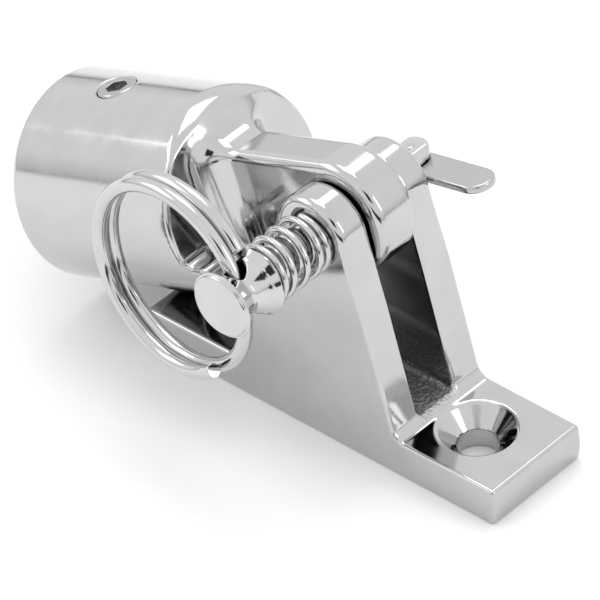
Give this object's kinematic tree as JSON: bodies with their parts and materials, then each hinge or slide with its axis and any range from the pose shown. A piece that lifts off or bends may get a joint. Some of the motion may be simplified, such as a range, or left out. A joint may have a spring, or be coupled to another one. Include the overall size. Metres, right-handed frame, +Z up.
{
  "type": "deck hinge",
  "caption": "Deck hinge base with an eye end for a tube, joined by a spring-loaded quick-release pin with a pull ring and a drop toggle.",
  "frame": {"origin": "middle of the base's underside, below the middle of the pin", "axes": "+Z up from the surface that the base is screwed to; X along the base plate, with the eye end lying towards -X at rest; Y along the quick-release pin, with its round head and ring on the -Y side and its toggle on the +Y side"},
  "size_m": [0.0897, 0.0439, 0.0466],
  "materials": {
    "base_steel": "mirror polished",
    "eye_steel": "mirror polished",
    "screw_steel": "bright",
    "pin_steel": "turned and polished",
    "spring_steel": "drawn wire",
    "ring_steel": "drawn wire",
    "toggle_steel": "tumbled",
    "rivet_steel": "bright"
  },
  "bodies": {
    "base": {"hinge_base": "base_steel"},
    "eye": {"eye_end": "eye_steel", "set_screw": "screw_steel"},
    "spring_seat": {"pin_spring": "spring_steel"},
    "pin": {"release_pin": "pin_steel", "toggle_rivet": "rivet_steel"},
    "toggle": {"toggle": "toggle_steel"},
    "ring": {"pull_ring": "ring_steel"}
  },
  "joints": [
    {"name": "eye_hinge", "type": "hinge", "parent": "base", "child": "eye", "pos_m": [0, 0, 0.0354], "axis": [0, 1, 0], "range_deg": [-0.8, 220.5]},
    {"name": "pin_spin", "type": "hinge", "parent": "base", "child": "spring_seat", "pos_m": [0, 0, 0.0354], "axis": [0, 1, 0], "continuous": true},
    {"name": "pin_push", "type": "slide", "parent": "spring_seat", "child": "pin", "axis": [0, 1, 0], "range_m": [0, 0.0025], "stiffness_N_per_m": 1500, "springref_m": -0.004, "deforming": ["pin_spring"]},
    {"name": "toggle_drop", "type": "hinge", "parent": "pin", "child": "toggle", "pos_m": [0, 0.0126, 0.0354], "axis": [-0.2181, 0, 0.9759], "range_deg": [0, 90]},
    {"name": "ring_swing", "type": "hinge", "parent": "pin", "child": "ring", "pos_m": [0, -0.02435, 0.0354], "axis": [-0.2181, 0, 0.9759], "range_deg": [-8, 90]}
  ]
}
